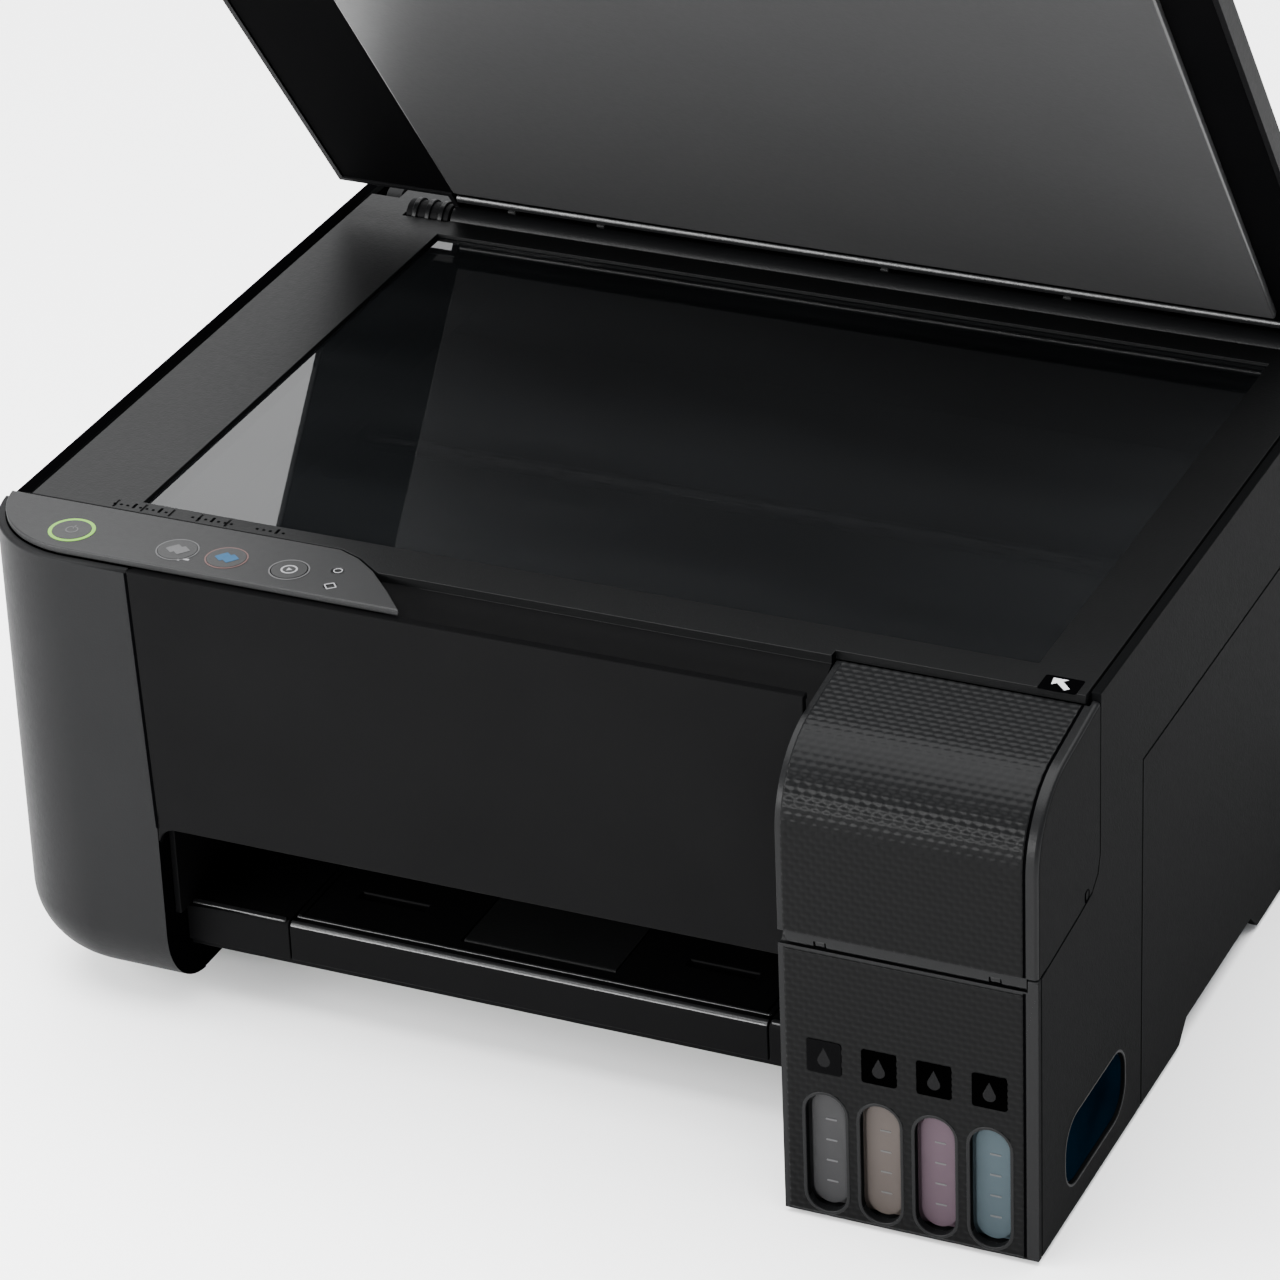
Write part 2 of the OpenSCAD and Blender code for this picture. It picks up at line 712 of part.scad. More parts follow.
module panel_end() polygon([[left_x - 5, 20], [-29, 20], [-29, 25.2], [-40, 37.8], [-50, 48],
    [-58, 54], [-66, panel_y], [left_x - 5, panel_y]]);

module panel_outline(inset) intersection() {
    union() {
        translate([corner_x, corner_y]) circle(corner_r - inset);
        translate([corner_x, front_y + inset]) square([150, 100]);
    }
    panel_end();
}

module frame_plan() polygon([[frame_x0, panel_y + gap], [-65.6, panel_y + gap], [-57.6, 54.4],
    [-49.6, strip_y + 1], [-48, strip_y], [slot_x1, strip_y], [slot_x1, strip_right_y],
    [frame_x1, strip_right_y], [frame_x1, 302.6], [172, 302.6], [172, 313], [bar_x1, 313],
    [bar_x1, 311], [bar_x0, 311], [bar_x0, 313], [-166, 313], [-166, 302.6], [frame_x0, 302.6]]);

module scanner_frame() color("#2e2f32") seated() {
    plate_z = body_h - plate_t;
    difference() {
        translate([0, 0, plate_z]) linear_extrude(plate_t) frame_plan();
        box(glass_x0, glass_x1, glass_y0, glass_y1, plate_z - 1, body_h + 1);
        box(glass_x0 - 3.4, glass_x1 + 3.4, glass_y0 - 3.6, glass_y1 + 3.6, plate_z - 1, glass_top + 0.1);
        box(bar_x0, bar_x1, 290.4, 308.6, plate_z - 1, body_h + 1);
        box(-158.4, bar_x0 + 0.1, 289.6, 303.4, plate_z - 1, body_h + 1);
        box(bar_x1 - 0.1, 172.1, 289.6, 302.6, plate_z - 1, body_h + 1);
        for (x = [-148:10:-108]) box(x, x + 0.8, 58.6, 63.4, body_h - 0.4, body_h + 1);
    }
    // trough for the lid's round back edge
    trough_z = lid_z - 11.3;
    box(bar_x0, bar_x1, 288, 311, trough_z - 2.4, trough_z);
    box(bar_x0, bar_x1, 288, 290.4, trough_z, plate_z);
    box(bar_x0, bar_x1, 308.6, 311, trough_z, plate_z);
    // side skirts and finger recess
    box(frame_x0, frame_x0 + 2, panel_y + 1, 302.6, 158, plate_z);
    box(frame_x1 - 2, frame_x1, strip_right_y + 1, 302.6, 158, plate_z);
    along_x(-47, slot_x1) polygon([[strip_y, plate_z], [50, plate_z], [50, 165], [33, 158], [33, 150],
        [31, 150], [31, 159.6], [36, 161.2], [42, 164.2], [46, body_h - 4]]);
    // end blocks with the pins that the unit lifts on
    box(-166, bar_x0, 303.6, 313, 160.5, plate_z);
    box(bar_x1, 172, 303.6, 313, 160.5, plate_z);
    rod_along_x(-172.4, -166, lift_y, lift_z, lift_pin_r);
    rod_along_x(172, 178.4, lift_y, lift_z, lift_pin_r);
}

module scanner_tray() color("#1d1e21") seated() difference() {
    box(-170, 178, 55, 287.6, 128, 167.9);
    box(-167.6, 175.6, 57.4, 285.2, 130.4, 168);
}

module scanner_glass() color("#15181b") seated()
    box(glass_x0 - 3, glass_x1 + 3, glass_y0 - 3.2, glass_y1 + 3.2, glass_top - glass_t, glass_top);

module scan_rod() color("#c2c4c6") seated() rod_along_x(-167.5, 175.5, rod_y, rod_z, 3);

module scan_bar() color("#33353a") seated() {
    difference() {
        union() {
            box(-137, -119, 64, 280, 152, 166);
            box(-137, -115, rod_y - 9, rod_y + 9, 138, 152);
        }
        rod_along_x(-140, -110, rod_y, rod_z, 3 + fit);
    }
    rod_along_z(133, 138, -126, rod_y, 7);
}

module button_hole(at) translate([at[0], at[1], cover_top]) cylinder(h = 5, r = at[2]);

module control_panel() color("#5c5e61") seated() {
    base_z = cover_top + gap;
    difference() {
        translate([0, 0, base_z]) linear_extrude(body_h - base_z) panel_outline(panel_inset);
        for (at = [power_at, mono_at, colour_at, stop_at]) button_hole(at);
        for (at = [[-60.3, 44.4], [-58.1, 34.6]]) rod_along_z(body_h - 0.5, body_h + 1, at[0], at[1], 2);
    }
    box(-160, -70, 50, 54.6, 160, base_z);
}

module panel_button(at) seated() {
    rod_along_z(cover_top - 2.4, cover_top - 0.6, at[0], at[1], at[2] + 0.8);
    rod_along_z(cover_top - 0.6, body_h + 0.2, at[0], at[1], at[2] - 0.3);
}

module power_button() color("#5c5e61") panel_button(power_at);

module mono_copy_button() color("#5c5e61") panel_button(mono_at);

module colour_copy_button() color("#2f6f9e") panel_button(colour_at);

module stop_button() color("#5c5e61") panel_button(stop_at);

module hinge_brackets() color("#1a1b1d") seated() {
    knuckle_r = lid_bar_r;
    for (x = [[-158, bar_x0 - 0.6], [bar_x1 + 0.6, 171.6]]) difference() {
        union() {
            rod_along_x(x[0], x[1], lid_y, lid_z, knuckle_r);
            box(x[0], x[1], 290, 302, 160, lid_z);
        }
        rod_along_x(x[0] - 1, x[1] + 1, lid_y, lid_z, lift_pin_r + fit);
    }
}

// ---------- lid, drawn closed and swung open about its bar ----------

module lid_plan(inset) {
    half = 183.5 - inset;
    polygon([[-half, 59 + inset], [-66, 59 + inset], [-50, 48 + inset], [half, 48 + inset],
             [half, lid_back_y - inset], [bar_x1 - inset, lid_back_y - inset], [bar_x1 - inset, lid_y],
             [bar_x0 + inset, lid_y], [bar_x0 + inset, lid_back_y - inset], [-half, lid_back_y - inset]]);
}

module lid_shell() color("#1b1c1f") seated() lid_pose() {
    top_z = 179.6;
    rim_z = body_h + 0.6;
    web_r = top_z - lid_z;
    difference() {
        translate([0, 0, rim_z]) linear_extrude(top_z - rim_z) lid_plan(0);
        translate([0, 0, rim_z - 1]) linear_extrude(top_z - rim_z - 1) lid_plan(2);
    }
    along_x(bar_x0 + 0.3, bar_x1 - 0.3) difference() {
        translate([lid_y, lid_z]) circle(web_r);
        translate([lid_y, lid_z]) circle(web_r - 2.4);
        translate([lid_y - 40, lid_z - 20]) square([40, 40]);
        translate([lid_y - 1, lid_z - 20]) square([40, 20]);
    }
    rod_along_x(bar_x0 + 0.3, bar_x1 - 0.3, lid_y, lid_z, lid_bar_r);
    for (x = [-120:60:140]) box(x, x + 2, lid_y - 1, lid_y + 3, lid_z + 4, top_z - 2);
    for (x = [bar_x0 - 5.4, bar_x1 - 0.3]) rod_along_x(x, x + 5.7, lid_y, lid_z, lift_pin_r);
}

module lid_mat() color("#8b8c8d") seated() lid_pose()
    box(-136.6, -136.6 + mat_w, glass_y0 + 1.4, glass_y1 - 0.7, body_h - 1, 177.6);

base_tray();
rubber_feet();
left_cover();
front_cover();
right_cover();
right_rear_cover();
rear_cover();
tank_housing();
black_tank();
yellow_tank();
magenta_tank();
cyan_tank();
black_cap();
yellow_cap();
magenta_cap();
cyan_cap();
ink_cover();
ink_tubes();
carriage_rail();
timing_belt();
carriage_motor();
drive_pulley();
idler_pulley();
print_carriage();
print_head();
platen();
feed_roller();
exit_roller();
star_wheels();
feed_belt();
feed_motor();
capping_station();
waste_ink_pad();
main_board();
power_supply();
power_inlet();
usb_port();
hopper_plate();
pickup_roller();
paper_support();
feeder_guard();
left_edge_guide();
right_edge_guide();
output_tray();
tray_extension();
paper_stop();
scanner_frame();
scanner_tray();
scanner_glass();
scan_rod();
scan_bar();
control_panel();
power_button();
mono_copy_button();
colour_copy_button();
stop_button();
hinge_brackets();
lid_shell();
lid_mat();
case_screws();
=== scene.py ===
import json
import math

import bmesh
import bpy
from mathutils import Matrix, Vector

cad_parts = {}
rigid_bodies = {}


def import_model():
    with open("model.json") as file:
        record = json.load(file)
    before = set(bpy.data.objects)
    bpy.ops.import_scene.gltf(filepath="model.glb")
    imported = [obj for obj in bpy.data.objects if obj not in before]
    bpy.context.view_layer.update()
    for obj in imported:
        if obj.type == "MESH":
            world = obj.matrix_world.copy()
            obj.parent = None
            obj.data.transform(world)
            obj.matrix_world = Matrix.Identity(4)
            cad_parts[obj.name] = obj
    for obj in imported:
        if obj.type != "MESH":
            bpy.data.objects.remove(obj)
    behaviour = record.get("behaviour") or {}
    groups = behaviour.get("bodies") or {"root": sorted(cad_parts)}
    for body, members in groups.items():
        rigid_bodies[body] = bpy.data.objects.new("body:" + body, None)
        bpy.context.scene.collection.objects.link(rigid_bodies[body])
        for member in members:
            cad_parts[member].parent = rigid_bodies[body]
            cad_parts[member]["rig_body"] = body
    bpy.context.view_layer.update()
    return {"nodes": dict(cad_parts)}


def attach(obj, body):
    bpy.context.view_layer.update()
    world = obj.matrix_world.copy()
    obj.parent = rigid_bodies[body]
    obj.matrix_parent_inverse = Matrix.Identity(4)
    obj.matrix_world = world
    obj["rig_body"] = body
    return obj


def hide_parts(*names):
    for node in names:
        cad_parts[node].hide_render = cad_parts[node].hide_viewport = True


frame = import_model()

# Pieces are drawn in millimetres from the tank unit's front face, then set
# down in the row frame, whose origin is the middle of the footprint.
HALF_DEPTH = 173.5
SET_DOWN = Matrix.Scale(0.001, 4) @ Matrix.Translation((0, -HALF_DEPTH, 0))

HINGE_Y, HINGE_Z = 296.5, 168.7     # axis of the lid's hinge
LID_ANGLE = -52.76      # turn from closed to open, in degrees
HINGE = Matrix.Translation((0, HINGE_Y, HINGE_Z))
LID_SWING = HINGE @ Matrix.Rotation(math.radians(LID_ANGLE), 4, "X") @ HINGE.inverted()

FRONT_Y = 25.0          # face of the front cover
TOP_Z = 171.0           # scanner's top face
SEAM_Z = 99.5           # seam between ink cover and tank housing
UNIT_SIDE_X = 187.5     # ink unit's right side
RELIEF_X = (106.2, 182.7)       # left and right ends of the woven relief
COVER_START = 2.9       # where the relief starts, along the ink cover from its seam
TRAY_Y = 38.0           # face of the tray bar
TRAY_TOP = 41.0         # top of the tray bar
TANKS_X = [118.6 + 17.8 * i for i in range(4)]
WINDOW_W, WINDOW_H, WINDOW_Z = 13.0, 42.4, 25.0     # level window and its centre height
LABEL_Z = 59.8          # centre height of a window's label
SIDE_WINDOW = (49.7, 23.2)      # centre of the window in the unit's side
PRINT_LOW, PRINT_HIGH = TOP_Z - 0.02, TOP_Z + 0.06      # marks printed on the top face
BROW_R, BROW_SLOPE = 28.0, math.radians(9)
BROW_Z = 136.13         # centre height of the ink cover's rounded brow
ROLL_R = 1.6            # roll along the ink cover's bottom edge


# ---------- camera, light and floor ----------

def set_camera():
    right = Vector((0.9127, 0.4070, -0.0367)).normalized()
    forward = Vector((-0.3728, 0.7926, -0.4826)).normalized()
    place = Vector((0.6817, -1.4888, 0.9939))
    up = right.cross(forward).normalized()
    right = forward.cross(up)
    data = bpy.data.cameras.new("camera")
    data.lens = 158.7
    data.sensor_width = 36.0
    camera = bpy.data.objects.new("camera", data)
    camera.matrix_world = Matrix((
        (right.x, up.x, -forward.x, place.x),
        (right.y, up.y, -forward.y, place.y),
        (right.z, up.z, -forward.z, place.z),
        (0, 0, 0, 1)))
    bpy.context.scene.collection.objects.link(camera)
    bpy.context.scene.camera = camera


def softbox(name, place, aim, width, height, power, tint=(1, 1, 1)):
    data = bpy.data.lights.new(name, "AREA")
    data.shape = "RECTANGLE"
    data.size, data.size_y = width, height
    data.energy = power
    data.color = tint
    lamp = bpy.data.objects.new(name, data)
    lamp.location = place
    lamp.rotation_euler = (Vector(aim) - Vector(place)).to_track_quat("-Z", "Y").to_euler()
    bpy.context.scene.collection.objects.link(lamp)


def studio():
    world = bpy.data.worlds.new("studio")
    world.use_nodes = True
    world.node_tree.nodes["Background"].inputs["Color"].default_value = (0.95, 0.97, 1, 1)
    world.node_tree.nodes["Background"].inputs["Strength"].default_value = 1.0
    bpy.context.scene.world = world
    softbox("back_wall", (-1.6, 2.6, 1.3), (0, 0, 0.1), 2.0, 1.6, 20)
    softbox("overhead", (-0.1, 0.2, 2.6), (0, 0.2, 0), 3.6, 3.6, 400)
    softbox("front_strip", (-0.42, -1.51, 0.46), (0.14, -0.13, 0.14), 1.2, 0.26, 42)
    softbox("left_fill", (-0.66, -0.62, 0.44), (-0.1, -0.1, 0.13), 0.4, 0.4, 11)

    bm = bmesh.new()
    bmesh.ops.create_grid(bm, x_segments=1, y_segments=1, size=6)
    mesh = bpy.data.meshes.new("floor")
    bm.to_mesh(mesh)
    bm.free()
    floor = bpy.data.objects.new("floor", mesh)
    bpy.context.scene.collection.objects.link(floor)
    _, skin = new_finish("pale_floor")
    skin.inputs["Base Color"].default_value = (0.95, 0.95, 0.95, 1)
    skin.inputs["Roughness"].default_value = 0.9
    skin.inputs["Specular IOR Level"].default_value = 0.1
    mesh.materials.append(FINISH["pale_floor"])


# ---------- finishes ----------

FINISH = {}


def new_finish(name):
    """Starts a finish and files it under its name."""
    made = bpy.data.materials.new(name)
    made.use_nodes = True
    FINISH[name] = made
    return made.node_tree, made.node_tree.nodes["Principled BSDF"]


def noise(tree, scale, detail=3, stretch=(1, 1, 1)):
    where = tree.nodes.new("ShaderNodeTexCoord")
    mapping = tree.nodes.new("ShaderNodeMapping")
    mapping.inputs["Scale"].default_value = stretch
    grain = tree.nodes.new("ShaderNodeTexNoise")
    grain.inputs["Scale"].default_value = scale
    grain.inputs["Detail"].default_value = detail
    tree.links.new(where.outputs["Object"], mapping.inputs["Vector"])
    tree.links.new(mapping.outputs["Vector"], grain.inputs["Vector"])
    return grain.outputs["Fac"]


def between(tree, fac, low, high, socket, lo=0.3, hi=0.7):
    """Runs a number socket from low to high as the pattern goes from lo to hi."""
    span = tree.nodes.new("ShaderNodeMapRange")
    span.inputs["From Min"].default_value = lo
    span.inputs["From Max"].default_value = hi
    span.inputs["To Min"].default_value = low
    span.inputs["To Max"].default_value = high
    tree.links.new(fac, span.inputs["Value"])
    tree.links.new(span.outputs["Result"], socket)


def mottled(tree, fac, dark, light, socket, lo=0.3, hi=0.7):
    ramp = tree.nodes.new("ShaderNodeValToRGB")
    ramp.color_ramp.elements[0].position = lo
    ramp.color_ramp.elements[0].color = (*dark, 1)
    ramp.color_ramp.elements[1].position = hi
    ramp.color_ramp.elements[1].color = (*light, 1)
    tree.links.new(fac, ramp.inputs["Fac"])
    tree.links.new(ramp.outputs["Color"], socket)


def height_with_grain(tree, grain, weight):
    """Height on the piece, in metres, broken up by a little of a grain."""
    where = tree.nodes.new("ShaderNodeTexCoord")
    parts = tree.nodes.new("ShaderNodeSeparateXYZ")
    blend = tree.nodes.new("ShaderNodeMath")
    blend.operation = "MULTIPLY_ADD"
    blend.inputs[1].default_value = weight
    tree.links.new(where.outputs["Object"], parts.inputs["Vector"])
    tree.links.new(grain, blend.inputs[0])
    tree.links.new(parts.outputs["Z"], blend.inputs[2])
    return blend.outputs["Value"]


def bumped(tree, fac, depth, socket, strength=0.5):
    bump = tree.nodes.new("ShaderNodeBump")
    bump.inputs["Distance"].default_value = depth
    bump.inputs["Strength"].default_value = strength
    tree.links.new(fac, bump.inputs["Height"])
    tree.links.new(bump.outputs["Normal"], socket)


def plastic(name, colour, rough, grain=1400, depth=0.00012, specular=0.2, spread=0.06):
    """Moulded plastic: slow tone drift, uneven sheen and spark-eroded grain."""
    tree, skin = new_finish(name)
    drift = noise(tree, 30, 5)
    mottled(tree, drift, [c * (1 - spread) for c in colour], [c * (1 + spread) for c in colour],
            skin.inputs["Base Color"])
    between(tree, noise(tree, 420, 4), rough - 0.02, rough + 0.025, skin.inputs["Roughness"])
    bumped(tree, noise(tree, grain, 2), depth, skin.inputs["Normal"])
    skin.inputs["Specular IOR Level"].default_value = specular


def steel(name, colour, rough, stretch=(1, 1, 1)):
    tree, skin = new_finish(name)
    brush = noise(tree, 900, 3, stretch)
    mottled(tree, brush, [c * 0.82 for c in colour], [min(1, c * 1.12) for c in colour],
            skin.inputs["Base Color"])
    between(tree, brush, rough - 0.08, rough + 0.1, skin.inputs["Roughness"])
    bumped(tree, brush, 0.00003, skin.inputs["Normal"], 0.3)
    skin.inputs["Metallic"].default_value = 1.0


def ink_plastic(name, colour, deep):
    """Clouded tank plastic with ink behind it, a little darker towards the bottom."""
    tree, skin = new_finish(name)
    level = height_with_grain(tree, noise(tree, 260, 5), 0.012)
    mottled(tree, level, deep, colour, skin.inputs["Base Color"], 0.012, 0.052)
    between(tree, noise(tree, 500, 3), 0.3, 0.42, skin.inputs["Roughness"])
    bumped(tree, noise(tree, 900, 2), 0.00008, skin.inputs["Normal"])
    skin.inputs["Specular IOR Level"].default_value = 0.05
    skin.inputs["Subsurface Weight"].default_value = 0.25
    skin.inputs["Subsurface Radius"].default_value = (0.002, 0.002, 0.002)


def woven_plastic(name, face, painted_lit_top, rough):
    """Black plastic that pales a little towards the top: painted light for the top that catches more light.
    """
    tree, skin = new_finish(name)
    level = height_with_grain(tree, noise(tree, 120, 4), 0.006)
    mottled(tree, level, face, painted_lit_top, skin.inputs["Base Color"], 0.14, 0.166)
    between(tree, noise(tree, 420, 4), rough - 0.02, rough + 0.03, skin.inputs["Roughness"])
    bumped(tree, noise(tree, 1500, 2), 0.00005, skin.inputs["Normal"])
    skin.inputs["Specular IOR Level"].default_value = 0.045


def platen_glass():
    tree, skin = new_finish("platen_glass")
    mottled(tree, noise(tree, 14, 3, (0.25, 1, 1)), (0.0016, 0.0018, 0.002), (0.006, 0.0065, 0.007),
            skin.inputs["Base Color"])
    between(tree, noise(tree, 40, 4), 0.012, 0.03, skin.inputs["Roughness"])
    skin.inputs["IOR"].default_value = 1.6
    skin.inputs["Alpha"].default_value = 0.8


def glow(name, colour, power):
    tree, skin = new_finish(name)
    mottled(tree, noise(tree, 700, 2), [c * 0.02 for c in colour], [c * 0.03 for c in colour],
            skin.inputs["Base Color"])
    mottled(tree, noise(tree, 300, 2), [c * 0.85 for c in colour], colour, skin.inputs["Emission Color"])
    skin.inputs["Emission Strength"].default_value = power
    skin.inputs["Roughness"].default_value = 0.4


def felt():
    tree, skin = new_finish("pad_felt")
    fibre = noise(tree, 1500, 6)
    mottled(tree, fibre, (0.5, 0.48, 0.44), (0.75, 0.73, 0.68), skin.inputs["Base Color"])
    bumped(tree, fibre, 0.0004, skin.inputs["Normal"], 0.9)
    skin.inputs["Roughness"].default_value = 0.95
    skin.inputs["Sheen Weight"].default_value = 0.4


plastic("case_black", (0.0055, 0.0056, 0.0058), 0.5, specular=0.04)
# Darker copy of the case black for the right side: painted shade.
plastic("shaded_side_black", (0.0022, 0.0023, 0.0024), 0.55, specular=0.005)
plastic("front_black", (0.0028, 0.0028, 0.0029), 0.5, specular=0.01)
# Darker black for the faces in the finger recess: painted shade.
plastic("ledge_painted_shade", (0.0014, 0.0014, 0.0015), 0.5, specular=0.015)
# Woven relief black; the paler colour towards its top is painted light.
woven_plastic("woven_black", (0.0011, 0.00115, 0.0012), (0.0046, 0.0047, 0.0049), 0.3)
plastic("edge_black", (0.0032, 0.0033, 0.0035), 0.34, specular=0.08)
# Paler, glossier black for bars: real gloss, with a painted highlight in its paler colour.
plastic("gloss_and_painted_highlight", (0.006, 0.0061, 0.0064), 0.3, specular=0.4)
plastic("frame_black", (0.0032, 0.0033, 0.0034), 0.42, specular=0.08)
plastic("panel_grey", (0.0108, 0.0109, 0.0111), 0.45, grain=2200, depth=0.00008, specular=0.12)
plastic("inner_black", (0.0013, 0.0013, 0.0014), 0.5, specular=0.02)
# Near-black without sheen: painted shade in gaps, grooves and hollows, and also dark print.
plastic("painted_shade_and_print_black", (0.0006, 0.0006, 0.0007), 0.85, specular=0.0)
plastic("lid_black", (0.0028, 0.0028, 0.003), 0.55, specular=0.03)
# Darker black with almost no sheen for the lid's underside border: painted shade.
plastic("lid_underside_shade_black", (0.0013, 0.0013, 0.0014), 0.7, specular=0.002)
plastic("mat_white", (0.027, 0.027, 0.0274), 0.34, grain=900, depth=0.00005, specular=0.3, spread=0.02)
plastic("button_grey", (0.0105, 0.0106, 0.0108), 0.44, grain=2200, depth=0.00006)
plastic("print_white", (0.15, 0.15, 0.155), 0.5, grain=2500, depth=0.00003)
plastic("print_faint", (0.045, 0.045, 0.046), 0.5, grain=2500, depth=0.00003)
plastic("print_rose", (0.055, 0.03, 0.028), 0.5, grain=2500, depth=0.00003)
plastic("print_blue", (0.003, 0.036, 0.08), 0.5, grain=2500, depth=0.00003)
plastic("label_black", (0.0002, 0.0002, 0.0002), 0.6, specular=0.0)
plastic("label_soft", (0.0008, 0.0008, 0.0009), 0.5, specular=0.01)
plastic("label_grey", (0.0042, 0.0042, 0.0044), 0.5, specular=0.02)
plastic("arrow_white", (0.42, 0.42, 0.43), 0.5, grain=2500, depth=0.00003)
plastic("cap_black", (0.006, 0.006, 0.006), 0.6)
plastic("cap_yellow", (0.6, 0.38, 0.01), 0.6)
plastic("cap_magenta", (0.4, 0.02, 0.15), 0.6)
plastic("cap_cyan", (0.01, 0.2, 0.42), 0.6)
plastic("rubber", (0.007, 0.007, 0.0075), 0.75, grain=1100, depth=0.0003, specular=0.1)
plastic("pulley_white", (0.62, 0.61, 0.57), 0.45)
plastic("tube_dark", (0.02, 0.024, 0.03), 0.35)
plastic("board_green", (0.012, 0.09, 0.04), 0.35, grain=700, spread=0.35)
steel("zinc_steel", (0.5, 0.51, 0.52), 0.42, (1, 0.15, 1))
steel("roller_steel", (0.42, 0.42, 0.43), 0.3, (0.1, 1, 1))
steel("screw_steel", (0.3, 0.3, 0.3), 0.4)
steel("motor_steel", (0.45, 0.45, 0.45), 0.35, (1, 1, 0.1))
steel("port_metal", (0.55, 0.55, 0.55), 0.3)
felt()
platen_glass()
ink_plastic("tank_smoke", (0.0225, 0.0225, 0.023), (0.0165, 0.0165, 0.0171))
ink_plastic("tank_yellow", (0.048, 0.0405, 0.0366), (0.037, 0.0306, 0.0274))
ink_plastic("tank_magenta", (0.048, 0.033, 0.0415), (0.036, 0.0242, 0.031))
ink_plastic("tank_cyan", (0.0295, 0.0415, 0.0475), (0.0225, 0.032, 0.037))
plastic("side_blue", (0.0003, 0.002, 0.004), 0.6, specular=0.0, spread=0.5)
glow("ring_lime", (0.26, 0.75, 0.0), 1.3)

WORN_BY = {
    "inner_black": ["base_tray", "print_carriage", "print_head", "platen", "capping_station",
                    "power_inlet", "hopper_plate", "scanner_tray", "scan_bar"],
    "case_black": ["right_rear_cover", "rear_cover", "feeder_guard"],
    "frame_black": ["paper_support", "left_edge_guide", "right_edge_guide", "paper_stop"],
    "rubber": ["rubber_feet", "timing_belt", "feed_belt", "pickup_roller"],
    "zinc_steel": ["carriage_rail", "power_supply"],
    "roller_steel": ["feed_roller", "exit_roller", "star_wheels", "scan_rod"],
    "motor_steel": ["carriage_motor", "feed_motor"],
    "pulley_white": ["drive_pulley", "idler_pulley"],
    "port_metal": ["usb_port"],
    "screw_steel": ["case_screws"],
    "board_green": ["main_board"],
    "pad_felt": ["waste_ink_pad"],
    "tube_dark": ["ink_tubes"],
    "lid_black": ["hinge_brackets"],
    "platen_glass": ["scanner_glass"],
    "button_grey": ["power_button", "mono_copy_button", "colour_copy_button", "stop_button"],
    "tank_smoke": ["black_tank"], "tank_yellow": ["yellow_tank"],
    "tank_magenta": ["magenta_tank"], "tank_cyan": ["cyan_tank"],
    "cap_black": ["black_cap"], "cap_yellow": ["yellow_cap"],
    "cap_magenta": ["magenta_cap"], "cap_cyan": ["cyan_cap"],
}


def dress_frame():
    for finish, nodes in WORN_BY.items():
        for node in nodes:
            mesh = frame["nodes"][node].data
            mesh.materials.clear()
            mesh.materials.append(FINISH[finish])


# ---------- making pieces ----------

# How an outline's two directions and its depth lie along x, y and z.
LAID = {
    "z": lambda a, b, depth: (a, b, depth),
    "y": lambda a, b, depth: (a, depth, b),
    "x": lambda a, b, depth: (depth, a, b),
}


def settle(name, bm, finish, body, replaces=(), rounding=0.0, sharp=32, thickness=0.0):
    """Sets a drawn piece down in the row frame, finishes it and lets it ride on its body."""
    bmesh.ops.transform(bm, matrix=SET_DOWN, verts=bm.verts)
    mesh = bpy.data.meshes.new(name)
    bm.to_mesh(mesh)
    bm.free()
    for face in mesh.polygons:
        face.use_smooth = True
    mesh.set_sharp_from_angle(angle=math.radians(sharp))
    mesh.materials.append(FINISH[finish])
    made = bpy.data.objects.new(name, mesh)
    bpy.context.scene.collection.objects.link(made)
    if thickness:
        wall = made.modifiers.new("thickness", "SOLIDIFY")
        wall.thickness = thickness * 0.001
        wall.offset = -1
    if rounding:
        edge = made.modifiers.new("rounded_edges", "BEVEL")
        edge.width = rounding * 0.001
        edge.segments = 2
        edge.limit_method = "ANGLE"
        edge.angle_limit = math.radians(28)
        edge.use_clamp_overlap = False
        even = made.modifiers.new("even_shading", "WEIGHTED_NORMAL")
        even.keep_sharp = True
    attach(made, body)
    if replaces:
        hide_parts(*replaces)
    return made


def slab(outline, low, high, across="z"):
    """A plate: its outline in the two other directions, in order, drawn out along one."""
    turn = LAID[across]
    bm = bmesh.new()
    face = bm.faces.new([bm.verts.new(turn(a, b, low)) for a, b in outline])
    grown = bmesh.ops.extrude_face_region(bm, geom=[face])["geom"]
    shift = Vector(turn(0, 0, high - low))
    bmesh.ops.translate(bm, verts=[g for g in grown if isinstance(g, bmesh.types.BMVert)], vec=shift)
    bmesh.ops.recalc_face_normals(bm, faces=bm.faces)
    return bm


def arc(cx, cy, r, start, end, steps=10):
    return [(cx + r * math.cos(math.radians(start + (end - start) * i / steps)),
             cy + r * math.sin(math.radians(start + (end - start) * i / steps)))
            for i in range(steps + 1)]


def rounded_rect(cx, cy, w, h, r, steps=5):
    w, h = w / 2 - r, h / 2 - r
    return (arc(cx + w, cy + h, r, 0, 90, steps) + arc(cx - w, cy + h, r, 90, 180, steps)
            + arc(cx - w, cy - h, r, 180, 270, steps) + arc(cx + w, cy - h, r, 270, 360, steps))


def stadium(cx, cz, w, h, steps=12):
    r = w / 2
    rise = h / 2 - r
    return arc(cx, cz + rise, r, 0, 180, steps) + arc(cx, cz - rise, r, 180, 360, steps)


def circle(cx, cy, r, steps):
    return arc(cx, cy, r, 0, 360 - 360 / steps, steps - 1)


def merged(*parts):
    """One bmesh holding several drawn solids that stay separate shells."""
    whole = bmesh.new()
    for part in parts:
        spare = bpy.data.meshes.new("spare")
        part.to_mesh(spare)
        part.free()
        whole.from_mesh(spare)
        bpy.data.meshes.remove(spare)
    return whole


